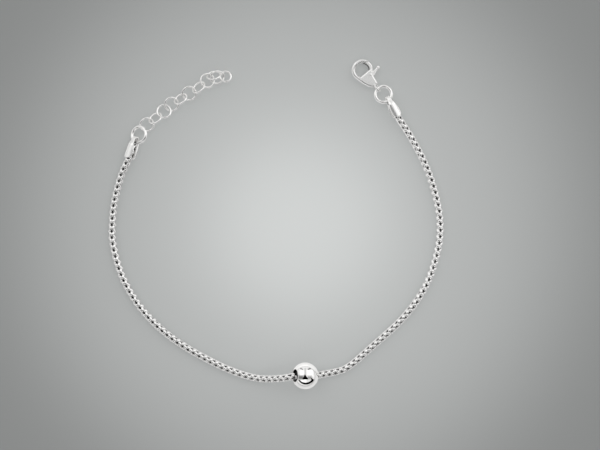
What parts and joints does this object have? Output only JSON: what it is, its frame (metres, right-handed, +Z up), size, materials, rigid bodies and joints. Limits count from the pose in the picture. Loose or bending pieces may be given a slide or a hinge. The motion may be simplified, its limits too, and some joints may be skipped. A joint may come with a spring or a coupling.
{
  "type": "bracelet",
  "caption": "Fine silver chain bracelet laid open in a round, with a plain polished ball threaded on the chain, a lobster clasp and a short ring extender.",
  "frame": {"origin": "under the middle of the laid-out bracelet's outline, on the surface it lies on", "axes": "+Z up from the surface it lies on, +Y towards the opening between the clasp and the extender, +X towards the clasp's side"},
  "size_m": [0.0756, 0.0743, 0.006],
  "materials": {
    "polished_silver": "polished",
    "silver_chain": "polished"
  },
  "bodies": {
    "bracelet": {"chain": "silver_chain", "ball": "polished_silver", "end_cap_right": "polished_silver", "end_cap_left": "polished_silver", "jump_ring_right": "polished_silver", "jump_ring_left": "polished_silver", "extender_ring_01": "polished_silver", "extender_ring_02": "polished_silver", "extender_ring_03": "polished_silver", "extender_ring_04": "polished_silver", "extender_ring_05": "polished_silver", "extender_ring_06": "polished_silver", "extender_ring_07": "polished_silver", "extender_ring_08": "polished_silver", "extender_ring_09": "polished_silver", "extender_ring_10": "polished_silver", "extender_ring_11": "polished_silver", "clasp_body": "polished_silver", "clasp_rivet": "polished_silver"},
    "lever": {"clasp_lever": "polished_silver"}
  },
  "joints": [
    {"name": "clasp_lever_pivot", "type": "hinge", "parent": "bracelet", "child": "lever", "pos_m": [0.02136, 0.03365, 0.0008], "axis": [0, 0, 1], "range_deg": [0, 25], "stiffness_Nm_per_rad": 0.0005, "springref_deg": -11.46}
  ]
}
